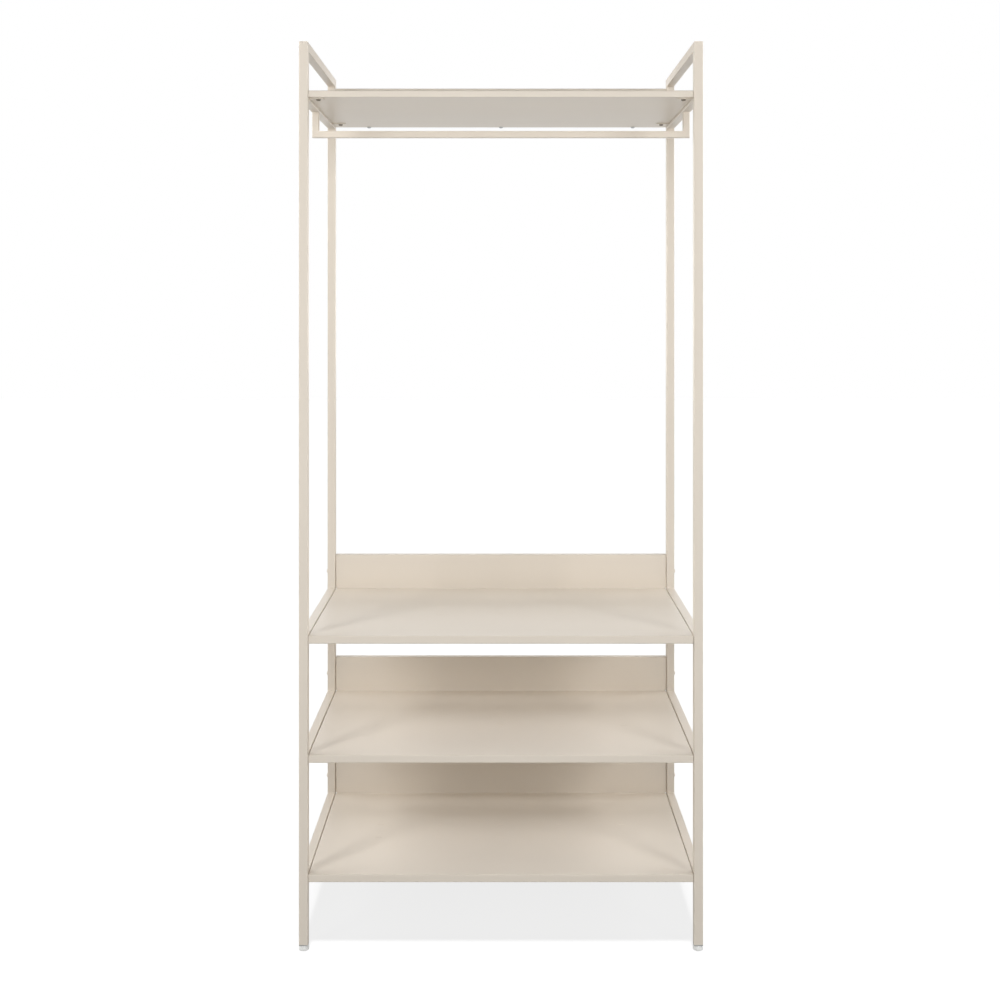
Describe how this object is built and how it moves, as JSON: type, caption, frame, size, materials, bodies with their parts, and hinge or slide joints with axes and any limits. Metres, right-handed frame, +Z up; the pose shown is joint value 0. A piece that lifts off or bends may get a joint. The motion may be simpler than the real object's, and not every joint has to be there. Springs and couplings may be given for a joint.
{
  "type": "open frame wardrobe",
  "caption": "Open wardrobe of slim square steel tube with a hat shelf over a hanging rail, folded shelves with upstands below, and levelling feet.",
  "frame": {"origin": "on the floor, under the middle of the frame", "axes": "+X to the right as seen from the front, +Y from the front to the back, +Z up"},
  "size_m": [0.8054, 0.452, 1.8],
  "materials": {
    "coated_steel": "fine matt powder coat, warm beige",
    "coated_bolt": "coated to match the frame",
    "plain_steel": "zinc plated",
    "dark_bolt": "blackened",
    "zinc_stud": "zinc plated",
    "foot_plug": "moulded, light grey",
    "foot_pad": "moulded, white"
  },
  "bodies": {
    "frame": {"left_front_post": "coated_steel", "left_rear_post": "coated_steel", "left_top_rail": "coated_steel", "left_hat_rail": "coated_steel", "left_hat_lugs": "coated_steel", "left_hanger_drop": "coated_steel", "left_drop_plug": "plain_steel", "left_upper_rail": "coated_steel", "left_middle_rail": "coated_steel", "left_lower_rail": "coated_steel", "left_front_foot_plug": "foot_plug", "left_rear_foot_plug": "foot_plug", "right_front_post": "coated_steel", "right_rear_post": "coated_steel", "right_top_rail": "coated_steel", "right_hat_rail": "coated_steel", "right_hat_lugs": "coated_steel", "right_hanger_drop": "coated_steel", "right_drop_plug": "plain_steel", "right_upper_rail": "coated_steel", "right_middle_rail": "coated_steel", "right_lower_rail": "coated_steel", "right_front_foot_plug": "foot_plug", "right_rear_foot_plug": "foot_plug", "upper_shelf": "coated_steel", "upper_shelf_stiffener": "coated_steel", "upper_shelf_bolts": "coated_bolt", "upper_shelf_nuts": "coated_steel", "middle_shelf": "coated_steel", "middle_shelf_stiffener": "coated_steel", "middle_shelf_bolts": "coated_bolt", "middle_shelf_nuts": "coated_steel", "lower_shelf": "coated_steel", "lower_shelf_stiffener": "coated_steel", "lower_shelf_bolts": "coated_bolt", "lower_shelf_nuts": "coated_steel", "hat_shelf_top": "coated_steel", "hat_shelf_base": "coated_steel", "hat_shelf_back_rail": "coated_steel", "hanging_bar": "coated_steel", "hat_shelf_bolts": "dark_bolt", "hat_shelf_nuts": "plain_steel", "back_rail_bolts": "coated_bolt", "back_rail_screws": "plain_steel", "back_rail_nuts": "coated_steel", "hanger_bolts": "plain_steel"},
    "left_front_pad": {"left_front_foot_pad": "foot_pad"},
    "left_front_stud": {"left_front_foot_stud": "zinc_stud"},
    "left_rear_pad": {"left_rear_foot_pad": "foot_pad"},
    "left_rear_stud": {"left_rear_foot_stud": "zinc_stud"},
    "right_front_pad": {"right_front_foot_pad": "foot_pad"},
    "right_front_stud": {"right_front_foot_stud": "zinc_stud"},
    "right_rear_pad": {"right_rear_foot_pad": "foot_pad"},
    "right_rear_stud": {"right_rear_foot_stud": "zinc_stud"}
  },
  "joints": [
    {"name": "left_front_foot_travel", "type": "slide", "parent": "frame", "child": "left_front_pad", "axis": [0, 0, -1], "range_m": [0, 0.01]},
    {"name": "left_front_stud_turn", "type": "hinge", "parent": "left_front_pad", "child": "left_front_stud", "pos_m": [-0.391, -0.216, 0], "axis": [0, 0, -1], "range_deg": [0, 2880]},
    {"name": "left_rear_foot_travel", "type": "slide", "parent": "frame", "child": "left_rear_pad", "axis": [0, 0, -1], "range_m": [0, 0.01]},
    {"name": "left_rear_stud_turn", "type": "hinge", "parent": "left_rear_pad", "child": "left_rear_stud", "pos_m": [-0.391, 0.216, 0], "axis": [0, 0, -1], "range_deg": [0, 2880]},
    {"name": "right_front_foot_travel", "type": "slide", "parent": "frame", "child": "right_front_pad", "axis": [0, 0, -1], "range_m": [0, 0.01]},
    {"name": "right_front_stud_turn", "type": "hinge", "parent": "right_front_pad", "child": "right_front_stud", "pos_m": [0.391, -0.216, 0], "axis": [0, 0, -1], "range_deg": [0, 2880]},
    {"name": "right_rear_foot_travel", "type": "slide", "parent": "frame", "child": "right_rear_pad", "axis": [0, 0, -1], "range_m": [0, 0.01]},
    {"name": "right_rear_stud_turn", "type": "hinge", "parent": "right_rear_pad", "child": "right_rear_stud", "pos_m": [0.391, 0.216, 0], "axis": [0, 0, -1], "range_deg": [0, 2880]}
  ],
  "couplings": [
    {"joint": "left_front_stud_turn", "follows": "left_front_foot_travel", "rad_per_m": 5026.5},
    {"joint": "left_rear_stud_turn", "follows": "left_rear_foot_travel", "rad_per_m": 5026.5},
    {"joint": "right_front_stud_turn", "follows": "right_front_foot_travel", "rad_per_m": 5026.5},
    {"joint": "right_rear_stud_turn", "follows": "right_rear_foot_travel", "rad_per_m": 5026.5}
  ]
}
